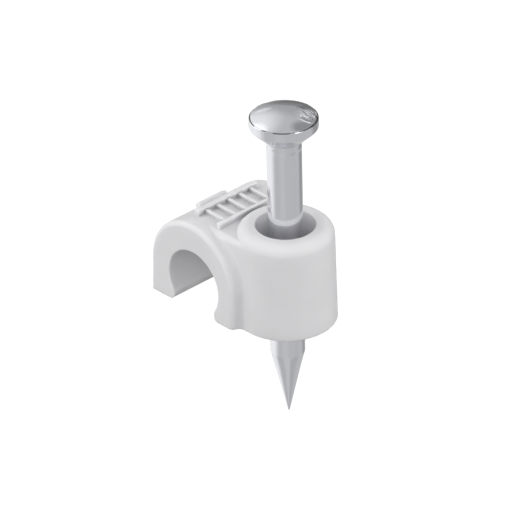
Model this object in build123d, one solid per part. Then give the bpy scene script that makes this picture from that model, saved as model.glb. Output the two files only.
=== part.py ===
# Nail-in cable clip: a moulded saddle that holds one round cable against a wall,
# with a boss beside it that carries a steel nail, partly driven as it is supplied.
#
# Millimetres. The origin is where the nail's axis meets the wall face of the clip.
# +Z runs along the nail towards its head, +Y along the cable, and the saddle lies
# on the -X side of the boss.

from build123d import *
import os
from math import asin, cos, radians, sin, sqrt, tan

# Nail
shank_diameter = 2.0
nail_length = 19.8
point_length = 4.1
tip_diameter = 0.10
head_diameter = 3.94
head_rim_height = 0.55
head_dome_height = 0.42
head_cone_height = 0.92
point_projection = 6.4

# Cable channel
cable_diameter = 4.0
cable_clearance = 0.04
cable_offset = 4.12
mouth_width = 3.28
lip_height = 0.62
free_lip_round = 0.42
inner_lip_round = 0.28
free_flank_round = 0.40
inner_flank_round = 0.12

# Saddle round the channel
saddle_overhang = 0.525
free_leg_wall = 1.50
free_leg_draft = 2.4
inner_leg_wall = 1.17
crown_wall = 1.70
saddle_edge_round = 0.30

# Boss that carries the nail
boss_diameter = 5.80
boss_height = 6.05
boss_draft = 1.1
boss_top_round = 0.70
recess_diameter = 3.47
recess_depth = 2.60
bore_lead = 0.30
nail_clearance = 0.03
seat_clearance = 0.02

# Web that joins the boss to the saddle
web_step = 0.05
web_edge_round = 0.34
root_round = 0.20

# Ribs moulded on the crown
front_rail_width = 0.22
front_rail_length = 4.94
rear_rail_width = 0.35
rear_rail_length = 4.66
rail_height = 0.32
rail_spacing = 1.94
rail_shift = 0.38
tread_count = 5
tread_pitch = 0.86
tread_width = 0.24
tread_height = 0.22
rear_bar_length = 2.08
rear_bar_width = 0.42
rear_bar_height = 0.27
rear_bar_angle = 118.2
rear_bar_shift = 0.18
rib_edge_round = 0.05

# Edges this close to a plane are taken as lying in it
touching = 0.01

# Worked out from the sizes above
shank_radius = shank_diameter / 2
head_radius = head_diameter / 2
channel_radius = cable_diameter / 2 + cable_clearance
channel_height = lip_height + sqrt(channel_radius**2 - (mouth_width / 2) ** 2)
saddle_length = boss_diameter + 2 * saddle_overhang
arch_radius = (2 * channel_radius + free_leg_wall + inner_leg_wall) / 2
arch_x = -cable_offset - (free_leg_wall - inner_leg_wall) / 2
crown_height = channel_height + channel_radius + crown_wall
arch_z = crown_height - arch_radius
boss_radius = boss_diameter / 2
bore_radius = shank_radius + nail_clearance
recess_radius = recess_diameter / 2
recess_floor = boss_height - recess_depth


def place_on_crown(shape, angle, along):
    """Turn a shape drawn on the XY plane to stand on the arch at this angle."""
    seat = Plane(
        origin=(
            arch_x + arch_radius * cos(radians(angle)),
            along,
            arch_z + arch_radius * sin(radians(angle)),
        ),
        x_dir=(sin(radians(angle)), 0, -cos(radians(angle))),
        z_dir=(cos(radians(angle)), 0, sin(radians(angle))),
    )
    return seat * shape


def saddle_block():
    """The block over the cable: a half-round crown, and a free leg that spreads a little."""
    lean = radians(free_leg_draft)
    shoulder = (arch_x - arch_radius * cos(lean), arch_z + arch_radius * sin(lean))
    foot = (shoulder[0] - shoulder[1] * tan(lean), 0)
    outline = Curve() + [
        Line(foot, shoulder),
        ThreePointArc(shoulder, (arch_x, crown_height), (arch_x + arch_radius, arch_z)),
        Line((arch_x + arch_radius, arch_z), (arch_x + arch_radius, 0)),
        Line((arch_x + arch_radius, 0), foot),
    ]
    block = extrude(Plane.XZ * make_face(outline), amount=saddle_length / 2, both=True)
    ends = block.faces().filter_by(Axis.Y)
    rims = [edge for edge in ends.edges() if edge.center().Z > touching]
    return fillet(rims, saddle_edge_round)


def web_block():
    """The bridge from the boss to the saddle, drafted like the boss and as wide."""
    top = crown_height - web_step
    half_top = boss_radius - top * tan(radians(boss_draft))
    section = make_face(
        Polyline(
            (-boss_radius, 0), (boss_radius, 0), (half_top, top), (-half_top, top), close=True
        )
    )
    start = Plane(origin=(arch_x, 0, 0), x_dir=(0, 1, 0), z_dir=(1, 0, 0))
    bridge = extrude(start * section, amount=-arch_x)
    shoulders = [
        edge for edge in bridge.edges().filter_by(Axis.X) if edge.center().Z > top / 2
    ]
    return fillet(shoulders, web_edge_round)


def boss_post():
    """The drafted round post with its top edge rounded over."""
    top_radius = boss_radius - boss_height * tan(radians(boss_draft))
    section = make_face(
        Polyline((0, 0), (boss_radius, 0), (top_radius, boss_height), (0, boss_height), close=True)
    )
    corner = section.vertices().sort_by(lambda v: v.X + v.Y)[-1]
    section = fillet(corner, boss_top_round)
    return revolve(Plane.XZ * section, Axis.Z)


def cable_way():
    """What the channel and its narrower mouth take out, with rounded lips."""
    half_mouth = mouth_width / 2
    below = channel_radius
    lip_room = mouth_width + 2 * (free_lip_round + inner_lip_round)
    way = Pos(-cable_offset, channel_height) * Circle(channel_radius)
    way += Pos(-cable_offset, (channel_height - below) / 2) * Rectangle(
        mouth_width, channel_height + below
    )
    way += Pos(-cable_offset, -below / 2) * Rectangle(lip_room, below)
    rounds = [
        (-half_mouth, 0, free_lip_round),
        (half_mouth, 0, inner_lip_round),
        (-half_mouth, lip_height, free_flank_round),
        (half_mouth, lip_height, inner_flank_round),
    ]
    for across, height, radius in rounds:
        corner = way.vertices().sort_by_distance((across - cable_offset, height, 0))[0]
        way = fillet(corner, radius)
    return extrude(Plane.XZ * way, amount=saddle_length, both=True)


def rib(length, width, height, buried):
    """One moulded rib with its top edges rounded; its base is sunk by `buried`."""
    bar = Pos(0, 0, (height - buried) / 2) * Box(length, width, height + buried)
    return fillet(bar.faces().sort_by(Axis.Z)[-1].edges(), rib_edge_round)


def crown_ribs():
    """Two rails along the cable, low treads between them, and a bar down the back."""
    buried = crown_wall / 2
    ribs = []
    rails = [
        (rail_spacing / 2, front_rail_width, front_rail_length),
        (-rail_spacing / 2, rear_rail_width, rear_rail_length),
    ]
    for across, width, length in rails:
        rail = rib(width, length, rail_height, buried)
        ribs.append(Pos(arch_x + rail_shift + across, 0, crown_height) * rail)
    for step in range(tread_count):
        along = (step - (tread_count - 1) / 2) * tread_pitch
        tread = rib(rail_spacing, tread_width, tread_height, buried)
        ribs.append(Pos(arch_x + rail_shift, along, crown_height) * tread)
    bar = rib(rear_bar_width, rear_bar_length, rear_bar_height, buried)
    ribs.append(place_on_crown(bar, rear_bar_angle, -rear_bar_shift))
    return ribs


def nail_ways():
    """The bore the nail runs in, its lead-in, and the recess its head closes."""
    lead = Cone(bore_radius, bore_radius + bore_lead, bore_lead)
    return [
        Cylinder(bore_radius, 3 * boss_height),
        Pos(0, 0, recess_floor - bore_lead / 2) * lead,
        Pos(0, 0, recess_floor + boss_height / 2) * Cylinder(recess_radius, boss_height),
    ]


def clip_body():
    """The whole moulding, with a soft root where the web meets the saddle's leg."""
    body = saddle_block() + web_block()
    leg_side = arch_x + arch_radius
    roots = [
        edge
        for edge in body.edges().filter_by(GeomType.LINE)
        if abs(edge.center().X - leg_side) < touching
        and abs(edge.center().Y) < boss_radius
        and edge.center().Z > touching
    ]
    body = fillet(roots, root_round) + boss_post()
    for bit in crown_ribs():
        body += bit
    for bit in [cable_way()] + nail_ways():
        body -= bit
    return body


def nail():
    """The nail: a domed head with a cone under it, a plain shank, a tapered point."""
    tip_z = -point_projection
    dome_z = tip_z + nail_length
    rim_top = dome_z - head_dome_height
    rim_bottom = rim_top - head_rim_height
    dome_radius = (head_radius**2 + head_dome_height**2) / (2 * head_dome_height)
    half_angle = asin(head_radius / dome_radius) / 2
    dome_middle = (dome_radius * sin(half_angle), dome_z - dome_radius * (1 - cos(half_angle)))
    outline = Curve() + [
        Line((0, tip_z), (tip_diameter / 2, tip_z)),
        Line((tip_diameter / 2, tip_z), (shank_radius, tip_z + point_length)),
        Line((shank_radius, tip_z + point_length), (shank_radius, rim_bottom - head_cone_height)),
        Line((shank_radius, rim_bottom - head_cone_height), (head_radius, rim_bottom)),
        Line((head_radius, rim_bottom), (head_radius, rim_top)),
        ThreePointArc((head_radius, rim_top), dome_middle, (0, dome_z)),
        Line((0, dome_z), (0, tip_z)),
    ]
    return revolve(Plane.XZ * make_face(outline), Axis.Z)


# How far the nail can be driven before the cone under its head closes the recess
cone_rise = head_cone_height / (head_radius - shank_radius)
rim_rest = nail_length - point_projection - head_dome_height - head_rim_height
rim_home = boss_height + (head_radius - recess_radius) * cone_rise
drive_travel = rim_rest - rim_home - seat_clearance

pieces = {"clip_body": clip_body(), "nail": nail()}
os.makedirs("parts", exist_ok=True)
for name, piece in pieces.items():
    export_step(piece, f"parts/{name}.step")
    print(name, len(piece.solids()), round(piece.volume, 3), piece.bounding_box())
print("drive travel", round(drive_travel, 4))
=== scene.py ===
# Nail-in cable clip on a plain pale floor, seen from above the nail's side.
# Every length below is in metres, written as a number of millimetres times mm.

import bmesh
import bpy
from math import asin, atan2, cos, hypot, pi, radians, sin, sqrt, tan
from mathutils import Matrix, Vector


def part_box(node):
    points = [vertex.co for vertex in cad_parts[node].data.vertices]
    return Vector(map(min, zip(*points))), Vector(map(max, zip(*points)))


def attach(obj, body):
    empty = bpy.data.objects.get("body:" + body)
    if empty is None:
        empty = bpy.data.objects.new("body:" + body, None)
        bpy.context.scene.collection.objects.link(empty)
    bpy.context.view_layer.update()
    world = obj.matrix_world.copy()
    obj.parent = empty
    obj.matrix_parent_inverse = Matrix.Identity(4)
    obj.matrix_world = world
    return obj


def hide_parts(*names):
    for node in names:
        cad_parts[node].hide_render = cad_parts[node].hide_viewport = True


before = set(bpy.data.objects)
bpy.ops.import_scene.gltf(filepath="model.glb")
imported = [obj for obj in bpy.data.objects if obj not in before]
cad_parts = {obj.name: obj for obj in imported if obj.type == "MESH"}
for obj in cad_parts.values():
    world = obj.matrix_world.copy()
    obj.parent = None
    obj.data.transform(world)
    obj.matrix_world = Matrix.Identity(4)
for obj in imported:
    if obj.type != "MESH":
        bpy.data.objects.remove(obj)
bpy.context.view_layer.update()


# The moulding
#
# One shot of pale grey polymer: arched saddle, web and drafted boss, with ribs on the
# crown. It is moulded in a finely sparked tool, so its skin is satin and its rims are a
# touch soft. Shade is painted into the colour of the tight corners beside the ribs, so
# they render duller than the open faces.

mm = 0.001


def deselect_all():
    """Leave nothing selected and no object active."""
    if bpy.context.object and bpy.context.object.mode != "OBJECT":
        bpy.ops.object.mode_set(mode="OBJECT")
    bpy.ops.object.select_all(action="DESELECT")


def work_on(piece):
    """Make this piece the only one that operators act on."""
    deselect_all()
    piece.select_set(True)
    bpy.context.view_layer.objects.active = piece


moulding = bpy.data.objects.new("moulding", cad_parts["clip_body"].data.copy())
bpy.context.scene.collection.objects.link(moulding)
moulding.data.materials.clear()
work_on(moulding)
bpy.ops.object.mode_set(mode="EDIT")
bpy.ops.mesh.select_mode(type="EDGE")
bpy.ops.mesh.select_all(action="SELECT")
bpy.ops.mesh.remove_doubles(threshold=0.0005 * mm)
bpy.ops.mesh.dissolve_limited(angle_limit=radians(0.3))
bpy.ops.mesh.select_all(action="DESELECT")

end_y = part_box("clip_body")[1][1]
boss_top = 6.05 * mm
rim_round = 0.05 * mm
near = 0.01 * mm
shell = bmesh.from_edit_mesh(moulding.data)

# The root between web and saddle is rounded more widely than in the CAD solid. Its round
# runs straight over into the one on the saddle's edge, and narrows again near the crown.
# Every point of the old profile slides to the same share of the new one.
arch_x = -4.285 * mm
arch_z = 2.198 * mm
arch_r = 3.375 * mm
web_foot = 2.90 * mm
web_lean = tan(radians(1.1))
edge_round = 0.30 * mm
cad_root = 0.20 * mm
wide_root = 0.42 * mm
wide_up_to = 3.8 * mm
narrow_from = 4.9 * mm
quarter = radians(90)
joint_gap = radians(1.5)
for spot in shell.verts:
    x, y, z = spot.co
    over_arch = max(z - arch_z, 0)
    from_arch = hypot(x - arch_x, over_arch)
    off_leg = from_arch - arch_r
    off_web = abs(y) - (web_foot - z * web_lean)
    in_profile = -edge_round - near < off_leg < cad_root + near and off_web > -near
    if z > narrow_from or x < arch_x or not in_profile:
        continue
    fade = min((narrow_from - z) / (narrow_from - wide_up_to), 1)
    root = cad_root + (wide_root - cad_root) * fade * fade * (3 - 2 * fade)
    edge_from = end_y - edge_round - (web_foot - z * web_lean)
    lean = asin(max(root - edge_from, 0) / (root + edge_round))
    full_turn = quarter - lean - (joint_gap if lean else 0)
    if off_web < edge_from - near:
        share = atan2(cad_root - off_leg, cad_root - off_web) / quarter
        turn = share * full_turn
        new_leg = (root + edge_round) * cos(lean) - edge_round - root * sin(turn)
        new_web = root - root * cos(turn)
    else:
        share = atan2(off_web - edge_from, off_leg + edge_round) / quarter
        turn = quarter - (1 - share) * full_turn
        new_leg = edge_round * cos(turn) - edge_round
        new_web = edge_from + edge_round * sin(turn)
    grown = (arch_r + new_leg) / from_arch
    spot.co.x = arch_x + (x - arch_x) * grown
    spot.co.z = z + over_arch * (grown - 1)
    spot.co.y = (web_foot - spot.co.z * web_lean + new_web) * (1 if y > 0 else -1)

# The sharp rims at the ends, the foot and the mouth of the recess are softened a touch.
for rim in shell.edges:
    middle = (rim.verts[0].co + rim.verts[1].co) / 2
    off_end = abs(abs(middle.y) - end_y)
    off_foot = abs(middle.z)
    off_boss_top = abs(middle.z - boss_top)
    at_rim = min(off_end, off_foot, off_boss_top) < near
    if at_rim and rim.is_convex and rim.calc_face_angle(0) > radians(40):
        rim.select_set(True)
bmesh.update_edit_mesh(moulding.data)
bpy.ops.mesh.bevel(offset=rim_round, segments=4, profile=0.5, affect="EDGES", clamp_overlap=False)
bpy.ops.object.mode_set(mode="OBJECT")
if moulding.data.has_custom_normals:
    bpy.ops.mesh.customdata_custom_splitnormals_clear()
bpy.ops.object.shade_smooth_by_angle(angle=radians(28))
evened = moulding.modifiers.new("evened", "WEIGHTED_NORMAL")
evened.keep_sharp = True
bpy.ops.object.modifier_apply(modifier="evened")


def new_group(name, inputs, outputs):
    """An empty node group with named sockets, and its two end nodes."""
    group = bpy.data.node_groups.new(name, "ShaderNodeTree")
    for label, kind, value in inputs:
        socket = group.interface.new_socket(label, in_out="INPUT", socket_type=kind)
        socket.default_value = value
    for label, kind in outputs:
        group.interface.new_socket(label, in_out="OUTPUT", socket_type=kind)
    return group, group.nodes.new("NodeGroupInput"), group.nodes.new("NodeGroupOutput")


def add_math(tree, operation, *values):
    """One step of arithmetic in a node tree; a value is a number or another node's output."""
    node = tree.nodes.new("ShaderNodeMath")
    node.operation = operation
    for socket, value in zip(node.inputs, values):
        if isinstance(value, (int, float)):
            socket.default_value = value
        else:
            tree.links.new(value, socket)
    return node.outputs[0]


def add_range(tree, value, low, high, to_low, to_high):
    """Spread a value smoothly from one range to another."""
    node = tree.nodes.new("ShaderNodeMapRange")
    node.interpolation_type = "SMOOTHSTEP"
    node.inputs["From Min"].default_value = low
    node.inputs["From Max"].default_value = high
    node.inputs["To Min"].default_value = to_low
    node.inputs["To Max"].default_value = to_high
    tree.links.new(value, node.inputs["Value"])
    return node.outputs["Result"]


grain, grain_in, grain_out = new_group(
    "grain",
    [("Place", "NodeSocketVector", (0, 0, 0)), ("Size", "NodeSocketFloat", 0.001)],
    [("Shade", "NodeSocketFloat"), ("Height", "NodeSocketFloat")],
)
grain_noise = grain.nodes.new("ShaderNodeTexNoise")
grain_noise.inputs["Detail"].default_value = 3
grain.links.new(grain_in.outputs["Place"], grain_noise.inputs["Vector"])
grain_scale = add_math(grain, "DIVIDE", 1.0, grain_in.outputs["Size"])
grain.links.new(grain_scale, grain_noise.inputs["Scale"])
grain_shade = add_range(grain, grain_noise.outputs[0], 0.3, 0.7, 0, 1)
grain.links.new(grain_shade, grain_out.inputs["Shade"])
grain.links.new(grain_noise.outputs[0], grain_out.inputs["Height"])

# Ambient occlusion over a short reach, used to paint shade into corners and creases.
corners, corners_in, corners_out = new_group(
    "painted corner shade", [("Reach", "NodeSocketFloat", 0.001)], [("Open", "NodeSocketFloat")]
)
corner_occlusion = corners.nodes.new("ShaderNodeAmbientOcclusion")
corner_occlusion.only_local = True
corner_occlusion.samples = 12
corners.links.new(corners_in.outputs["Reach"], corner_occlusion.inputs["Distance"])
corners.links.new(corner_occlusion.outputs["AO"], corners_out.inputs["Open"])


def add_group(tree, group, **values):
    """Place a shared group in a material, with this material's own values."""
    node = tree.nodes.new("ShaderNodeGroup")
    node.node_tree = group
    for label, value in values.items():
        if isinstance(value, (int, float)):
            node.inputs[label].default_value = value
        else:
            tree.links.new(value, node.inputs[label])
    return node


polymer = bpy.data.materials.new("pale grey polymer")
polymer.use_nodes = True
polymer_tree = polymer.node_tree
polymer_skin = polymer_tree.nodes["Principled BSDF"]
polymer_skin.inputs["Subsurface Weight"].default_value = 1.0
polymer_skin.inputs["Subsurface Radius"].default_value = (1, 1, 1)
polymer_skin.inputs["Subsurface Scale"].default_value = 0.30 * mm
polymer_skin.inputs["IOR"].default_value = 1.5
polymer_place = polymer_tree.nodes.new("ShaderNodeTexCoord").outputs["Object"]
sparked = add_group(polymer_tree, grain, Place=polymer_place, Size=0.11 * mm)
clouded = add_group(polymer_tree, grain, Place=polymer_place, Size=1.7 * mm)
rib_corner_shade = add_group(polymer_tree, corners, Reach=0.40 * mm)

# Painted shade: only the corners beside the ribs are darkened in colour, where the
# occlusion test finds them closed in. The ribs stand above this height on the crown,
# and end before the boss.
ribs_above = 5.45 * mm
ribs_end_x = -2.68 * mm
corner_shade_strength = 0.70
polymer_at = polymer_tree.nodes.new("ShaderNodeSeparateXYZ")
polymer_tree.links.new(polymer_place, polymer_at.inputs[0])
high_up = add_range(
    polymer_tree, polymer_at.outputs["Z"], ribs_above, ribs_above + 0.25 * mm, 0, corner_shade_strength
)
on_crown = add_range(
    polymer_tree, polymer_at.outputs["X"], ribs_end_x - 0.18 * mm, ribs_end_x, 1, 0
)
rib_shade_share = add_math(polymer_tree, "MULTIPLY", high_up, on_crown)
closed = add_math(polymer_tree, "SUBTRACT", 1.0, rib_corner_shade.outputs["Open"])
painted_rib_shade = add_math(polymer_tree, "MULTIPLY", closed, rib_shade_share)
kept = add_math(polymer_tree, "SUBTRACT", 1.0, painted_rib_shade)
cloud_tone = add_range(polymer_tree, clouded.outputs["Shade"], 0, 1, 0.792, 0.808)
tone_and_shade = add_math(polymer_tree, "MULTIPLY", cloud_tone, kept)
polymer_colour = polymer_tree.nodes.new("ShaderNodeCombineColor")
for channel, tint in (("Red", 1.0), ("Green", 0.998), ("Blue", 1.012)):
    tinted = add_math(polymer_tree, "MULTIPLY", tone_and_shade, tint)
    polymer_tree.links.new(tinted, polymer_colour.inputs[channel])
polymer_tree.links.new(polymer_colour.outputs[0], polymer_skin.inputs["Base Color"])
polymer_satin = add_range(polymer_tree, clouded.outputs["Shade"], 0, 1, 0.39, 0.45)
polymer_tree.links.new(polymer_satin, polymer_skin.inputs["Roughness"])
polymer_bump = polymer_tree.nodes.new("ShaderNodeBump")
polymer_bump.inputs["Strength"].default_value = 0.5
polymer_bump.inputs["Distance"].default_value = 0.004 * mm
polymer_tree.links.new(sparked.outputs["Height"], polymer_bump.inputs["Height"])
polymer_tree.links.new(polymer_bump.outputs[0], polymer_skin.inputs["Normal"])
moulding.data.materials.append(polymer)
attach(moulding, "clip")
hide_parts("clip_body")


# The nail
#
# Drawn steel wire, headed and pointed cold, then bright zinc plated: a low domed head
# with a cone under it, a plain shank and a long point with four soft faces. It is
# pushed part way through the boss, as supplied.

nail_low, nail_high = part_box("nail")
tip_z, dome_z, head_r = nail_low[2], nail_high[2], nail_high[0]
shank_r = 1.00 * mm
point_length = 4.10 * mm
tip_r = 0.05 * mm
dome_height = 0.42 * mm
rim_height = 0.55 * mm
cone_height = 0.92 * mm
rim_top = dome_z - dome_height
rim_low = rim_top - rim_height
neck_z = rim_low - cone_height
edge = 0.04 * mm
dome_sphere = (head_r**2 + dome_height**2) / (2 * dome_height)


def on_dome(r):
    """Height of the dome's surface at this radius."""
    return dome_z - dome_sphere + sqrt(dome_sphere**2 - r**2)


# The nail is built ring by ring from the top of its dome to the tip of its point. At
# the dome's edge comes a fine crease, then the lip of the rim, rounded at both ends.
dome_rings = 13
nail_rings = []
for step in range(1, dome_rings + 1):
    r = (head_r - 3.2 * edge) * step / dome_rings
    nail_rings.append((r, on_dome(r)))
nail_rings += [
    (head_r - 2.5 * edge, on_dome(head_r - 2.5 * edge) - 0.1 * edge),
    (head_r - 1.9 * edge, on_dome(head_r - 1.9 * edge) - 1.1 * edge),
    (head_r - 1.3 * edge, on_dome(head_r - 1.3 * edge) - 1.1 * edge),
    (head_r - 0.8 * edge, on_dome(head_r - 0.8 * edge) - 0.1 * edge),
    (head_r - 0.25 * edge, rim_top - 0.5 * edge),
    (head_r, rim_top - 1.2 * edge),
    (head_r, rim_low + edge),
    (head_r - 0.6 * edge, rim_low - 0.3 * edge),
    (head_r - 2 * edge, rim_low - 1.9 * edge),
    (shank_r + 0.02 * mm, neck_z + 0.01 * mm),
    (shank_r, neck_z - 0.05 * mm),
    (shank_r, tip_z + point_length),
]
point_rings = 20
for step in range(1, point_rings + 1):
    share = 1 - step / point_rings
    nail_rings.append((tip_r + share * (shank_r - tip_r), tip_z + share * point_length))

crease_turn = radians(36)
face_depth = 0.08
deselect_all()
r, z = nail_rings[0]
bpy.ops.mesh.primitive_circle_add(vertices=128, radius=r, fill_type="TRIFAN", location=(0, 0, z))
steel_nail = bpy.context.object
steel_nail.name = "steel_nail"
bpy.ops.object.transform_apply(location=True, rotation=True, scale=True)
bpy.ops.object.mode_set(mode="EDIT")
bpy.ops.mesh.select_all(action="SELECT")
for next_r, next_z in nail_rings[1:]:
    bpy.ops.mesh.extrude_region_move(TRANSFORM_OT_translate={"value": (0, 0, next_z - z)})
    bpy.ops.transform.resize(value=(next_r / r, next_r / r, 1), center_override=(0, 0, next_z))
    r, z = next_r, next_z

    # The pointing dies leave four full faces, which meet in creases down to the tip.
    pressed = min((tip_z + point_length - z) / (0.3 * point_length), 1)
    if pressed > 0:
        wire = bmesh.from_edit_mesh(steel_nail.data)
        for spot in wire.verts:
            if spot.select:
                from_crease = atan2(spot.co.y, spot.co.x) + crease_turn
                flattened = 1 - face_depth * pressed * abs(sin(2 * from_crease))
                spot.co.xy = spot.co.xy.normalized() * r * flattened
        bmesh.update_edit_mesh(steel_nail.data)
bpy.ops.mesh.select_all(action="SELECT")
bpy.ops.mesh.normals_make_consistent(inside=False)
bpy.ops.object.mode_set(mode="OBJECT")
bpy.ops.object.shade_smooth_by_angle(angle=radians(14))
planed = steel_nail.modifiers.new("planed", "WEIGHTED_NORMAL")
planed.keep_sharp = True
bpy.ops.object.modifier_apply(modifier="planed")

steel = bpy.data.materials.new("zinc plated steel")
steel.use_nodes = True
steel_tree = steel.node_tree
steel_skin = steel_tree.nodes["Principled BSDF"]
steel_skin.inputs["Metallic"].default_value = 1
steel_place = steel_tree.nodes.new("ShaderNodeTexCoord").outputs["Object"]


def add_stretch(tree, place, scale, turn=0):
    """Stretch and turn a place, so that a grain runs in lines or lies another way."""
    node = tree.nodes.new("ShaderNodeMapping")
    node.inputs["Scale"].default_value = scale
    node.inputs["Rotation"].default_value = (0, 0, turn)
    tree.links.new(place, node.inputs["Vector"])
    return node.outputs[0]


# Fine lines from the drawing die run down the shank, faint marks of the gripping dies
# lie under the head, and the punch has left a patch of short creases on the dome.
plated = add_group(steel_tree, grain, Place=steel_place, Size=0.6 * mm)
along_shank = add_stretch(steel_tree, steel_place, (1, 1, 0.03))
drawn = add_group(steel_tree, grain, Place=along_shank, Size=0.16 * mm)
round_neck = add_stretch(steel_tree, steel_place, (0.5, 0.5, 2.5))
gripped = add_group(steel_tree, grain, Place=round_neck, Size=0.35 * mm)
across_dome = add_stretch(steel_tree, steel_place, (0.35, 1.6, 1), radians(40))
creased = add_group(steel_tree, grain, Place=across_dome, Size=0.30 * mm)
steel_at = steel_tree.nodes.new("ShaderNodeSeparateXYZ")
steel_tree.links.new(steel_place, steel_at.inputs[0])
over_shank = add_range(
    steel_tree, steel_at.outputs["Z"], neck_z - 0.55 * mm, neck_z - 0.30 * mm, 0, 1
)
under_head = add_range(steel_tree, steel_at.outputs["Z"], neck_z, neck_z + 0.25 * mm, 1, 0)
grip_zone = add_math(steel_tree, "MULTIPLY", over_shank, under_head)
creases_at = (0.95 * mm, 1.10 * mm, dome_z - 0.2 * mm)
crease_near = steel_tree.nodes.new("ShaderNodeVectorMath")
crease_near.operation = "DISTANCE"
steel_tree.links.new(steel_place, crease_near.inputs[0])
crease_near.inputs[1].default_value = creases_at
crease_zone = add_range(steel_tree, crease_near.outputs["Value"], 0.35 * mm, 0.95 * mm, 1, 0)
steel_height = add_math(steel_tree, "MULTIPLY", drawn.outputs["Height"], 0.10)
for marks, zone, depth in ((gripped, grip_zone, 1.2), (creased, crease_zone, 3.5)):
    shown = add_math(steel_tree, "MULTIPLY", marks.outputs["Height"], zone)
    cut = add_math(steel_tree, "MULTIPLY", shown, depth)
    steel_height = add_math(steel_tree, "ADD", steel_height, cut)
steel_bump = steel_tree.nodes.new("ShaderNodeBump")
steel_bump.inputs["Strength"].default_value = 1.0
steel_bump.inputs["Distance"].default_value = 0.03 * mm
steel_tree.links.new(steel_height, steel_bump.inputs["Height"])
steel_tree.links.new(steel_bump.outputs[0], steel_skin.inputs["Normal"])
steel_polish = add_range(steel_tree, plated.outputs["Shade"], 0, 1, 0.05, 0.09)
steel_tree.links.new(steel_polish, steel_skin.inputs["Roughness"])

# The base colour is darker on the lip. Shade is painted into the crease at the dome's edge,
# where the occlusion test finds it closed in. A grain breaks both up here and there.
crease_occlusion = add_group(steel_tree, corners, Reach=0.06 * mm)
breakup_place = add_stretch(steel_tree, steel_place, (1, 1, 1), radians(45))
breakup_grain = add_group(steel_tree, grain, Place=breakup_place, Size=0.9 * mm)
from_axis = steel_tree.nodes.new("ShaderNodeVectorMath")
from_axis.operation = "LENGTH"
steel_tree.links.new(add_stretch(steel_tree, steel_place, (1, 1, 0)), from_axis.inputs[0])
far_out = add_range(
    steel_tree, from_axis.outputs["Value"], head_r - 2.6 * edge, head_r - 2.0 * edge, 0, 1
)
over_rim = add_range(
    steel_tree, steel_at.outputs["Z"], rim_top - 0.35 * edge, rim_top - 0.1 * edge, 0, 1
)
lip = add_math(steel_tree, "MULTIPLY", far_out, over_rim)
crease = add_range(steel_tree, crease_occlusion.outputs["Open"], 0.55, 0.95, 1, 0)
breakup_mask = add_range(steel_tree, breakup_grain.outputs["Shade"], 0.35, 0.65, 0.10, 0.86)
dull = add_math(steel_tree, "MULTIPLY", add_math(steel_tree, "MAXIMUM", lip, crease), breakup_mask)
bright = add_math(steel_tree, "MULTIPLY", 0.84, add_math(steel_tree, "SUBTRACT", 1.0, dull))
steel_colour = steel_tree.nodes.new("ShaderNodeCombineColor")
for channel, tint in (("Red", 0.988), ("Green", 0.993), ("Blue", 1.040)):
    tinted = add_math(steel_tree, "MULTIPLY", bright, tint)
    steel_tree.links.new(tinted, steel_colour.inputs[channel])
steel_tree.links.new(steel_colour.outputs[0], steel_skin.inputs["Base Color"])
steel_nail.data.materials.append(steel)
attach(steel_nail, "driven_nail")
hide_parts("nail")


# The floor
#
# A plain white sheet, laid just below the lowest reach of the driven point. It is only
# a stage and no part of the clip.

drive_travel = 6.13 * mm
floor_gap = 0.17 * mm
floor_size = 6.0
deselect_all()
bpy.ops.mesh.primitive_plane_add(
    size=floor_size, location=(0, 0, tip_z - drive_travel - floor_gap)
)
floor = bpy.context.object
floor.name = "floor"
bpy.ops.object.transform_apply(location=True, rotation=True, scale=True)
white = bpy.data.materials.new("white sheet")
white.use_nodes = True
white_nodes = white.node_tree.nodes
white_links = white.node_tree.links
white_nodes.remove(white_nodes["Principled BSDF"])
sheet_skin = white_nodes.new("ShaderNodeBsdfDiffuse")
sheet_skin.inputs["Color"].default_value = (0.2, 0.2, 0.2, 1)
sheet_glow = white_nodes.new("ShaderNodeEmission")
sheet_ray = white_nodes.new("ShaderNodeLightPath")
sheet_seen = white_nodes.new("ShaderNodeMath")
sheet_seen.operation = "MAXIMUM"
sheet_lift = white_nodes.new("ShaderNodeMath")
sheet_lift.operation = "MULTIPLY"
sheet_lift.inputs[1].default_value = 0.9
sheet_both = white_nodes.new("ShaderNodeAddShader")
white_links.new(sheet_ray.outputs["Is Camera Ray"], sheet_seen.inputs[0])
white_links.new(sheet_ray.outputs["Is Glossy Ray"], sheet_seen.inputs[1])
white_links.new(sheet_seen.outputs[0], sheet_lift.inputs[0])
white_links.new(sheet_lift.outputs[0], sheet_glow.inputs["Strength"])
white_links.new(sheet_skin.outputs[0], sheet_both.inputs[0])
white_links.new(sheet_glow.outputs[0], sheet_both.inputs[1])
white_links.new(sheet_both.outputs[0], white_nodes["Material Output"].inputs["Surface"])
floor.data.materials.append(white)
floor.visible_glossy = False


# The light
#
# A white studio: an even surround and five large soft lamps in front and at the sides.
# Bright metal mirrors a pale surround of its own, hung with soft boxes and dark flags.

view_turn = radians(46.5)
studio = bpy.data.worlds.new("studio")
bpy.context.scene.world = studio
studio.use_nodes = True
air = studio.node_tree.nodes
air_links = studio.node_tree.links
air.clear()
air_way = air.new("ShaderNodeTexCoord")

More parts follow.
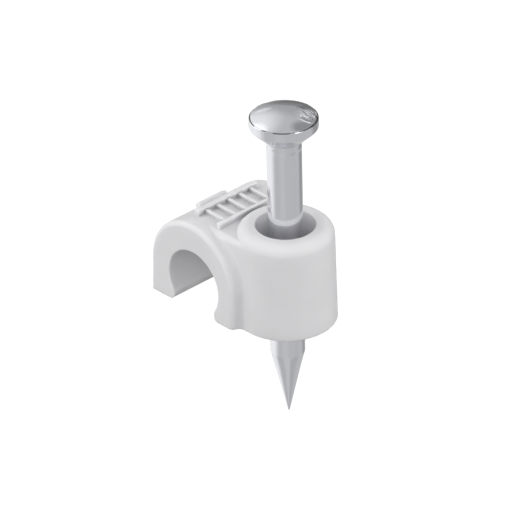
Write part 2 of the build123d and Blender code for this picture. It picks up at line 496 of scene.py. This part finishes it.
# Each patch: name, degrees round from the camera's side (left is negative), degrees above
# the horizon, half width in degrees, and how much it adds to the pale surround. A box
# adds light and a flag takes it away.
patches = [
    ("left box, low", -125, -17, 49, 0.43),
    ("left box, high", -125, 30, 49, 0.37),
    ("left box, top", -126, 46, 21, 0.35),
    ("side box", -85, 25, 26, 0.60),
    ("side strip on the table", -79, -37, 15, 0.14),
    ("front strip on the table", -16, -47, 26, 0.05),
    ("front glint", 55, 40, 17, 1.50),
    ("back left strip", -168, 17, 6, 0.22),
    ("back right spark, high", 155, 37, 9, 1.10),
    ("back right spark, low", 160, 30, 9, 0.60),
    ("back right flag", 161, 6, 45, -0.13),
    ("back flag", 174, 2, 15, -0.16),
    ("back flag, low", 173, -16, 22, -0.10),
    ("right flag", 128, 2, 43, -0.38),
    ("right flag, high", 139, 55, 18, -0.24),
    ("left shade on the table", -82, -55, 20, -0.04),
    ("right shade on the table", 62, -54, 26, -0.07),
]
surround_level = 0.545
seen_level = surround_level
for name, turn, rise, width, gain in patches:
    around = view_turn - pi / 2 + radians(turn)
    dot = air.new("ShaderNodeVectorMath")
    dot.operation = "DOT_PRODUCT"
    air_links.new(air_way.outputs["Generated"], dot.inputs[0])
    dot.inputs[1].default_value = (
        cos(around) * cos(radians(rise)), sin(around) * cos(radians(rise)), sin(radians(rise))
    )
    spread = air.new("ShaderNodeMapRange")
    spread.label = name
    spread.interpolation_type = "SMOOTHSTEP"
    spread.inputs["From Min"].default_value = cos(radians(width))
    spread.inputs["From Max"].default_value = cos(radians(width * 0.45))
    spread.inputs["To Min"].default_value = 0
    spread.inputs["To Max"].default_value = gain
    air_links.new(dot.outputs["Value"], spread.inputs["Value"])
    seen_level = add_math(studio.node_tree, "ADD", spread.outputs["Result"], seen_level)

air_ray = air.new("ShaderNodeLightPath")
even = air.new("ShaderNodeBackground")
even.inputs["Strength"].default_value = 0.645
mirrored = air.new("ShaderNodeBackground")
air_links.new(seen_level, mirrored.inputs["Strength"])
white_back = air.new("ShaderNodeBackground")
for air_part in (even, mirrored, white_back):
    air_part.inputs["Color"].default_value = (1, 1, 1, 1)
by_gloss = air.new("ShaderNodeMixShader")
by_camera = air.new("ShaderNodeMixShader")
air_out = air.new("ShaderNodeOutputWorld")
air_links.new(air_ray.outputs["Is Glossy Ray"], by_gloss.inputs[0])
air_links.new(even.outputs[0], by_gloss.inputs[1])
air_links.new(mirrored.outputs[0], by_gloss.inputs[2])
seen_straight = add_math(
    studio.node_tree,
    "MAXIMUM",
    air_ray.outputs["Is Camera Ray"],
    air_ray.outputs["Is Transmission Ray"],
)
air_links.new(seen_straight, by_camera.inputs[0])
air_links.new(by_gloss.outputs[0], by_camera.inputs[1])
air_links.new(white_back.outputs[0], by_camera.inputs[2])
air_links.new(by_camera.outputs[0], air_out.inputs["Surface"])

# Each lamp: name, degrees round from the camera's side, degrees above the horizon, watts.
lamp_away = 0.45
lamp_size = 0.36
lamps = [
    ("left_lamp", -62, 2, 0.635),
    ("right_lamp", 60, -2, 0.97),
    ("front_lamp", 0, 22, 0.44),
    ("far_left_lamp", -100, 25, 0.51),
    ("far_right_lamp", 95, 25, 0.325),
]
for name, turn, rise, power in lamps:
    around = view_turn - pi / 2 + radians(turn)
    level = lamp_away * cos(radians(rise))
    height = lamp_away * sin(radians(rise))
    deselect_all()
    bpy.ops.object.light_add(
        type="AREA", location=(level * cos(around), level * sin(around), height)
    )
    lamp = bpy.context.object
    lamp.name = name
    lamp.data.shape = "DISK"
    lamp.data.size = lamp_size
    lamp.data.energy = power
    lamp.rotation_euler = (radians(90 - rise), 0, view_turn + radians(turn))
    lamp.visible_glossy = False


# The camera
#
# A long lens some 0.3 m away, a little above the head of the nail, turned so that the
# open end of the saddle faces to the left.

lens = bpy.data.cameras.new("long lens")
lens.sensor_width = 36
lens.lens = 391.905
lens.clip_start = 0.01
lens.clip_end = 20
camera = bpy.data.objects.new("camera", lens)
camera.location = (195.5757 * mm, -185.299 * mm, 166.5654 * mm)
camera.rotation_euler = (radians(58.8914), radians(1.0735), radians(46.2731))
bpy.context.scene.collection.objects.link(camera)
bpy.context.scene.camera = camera
bpy.context.scene.view_settings.view_transform = "Standard"
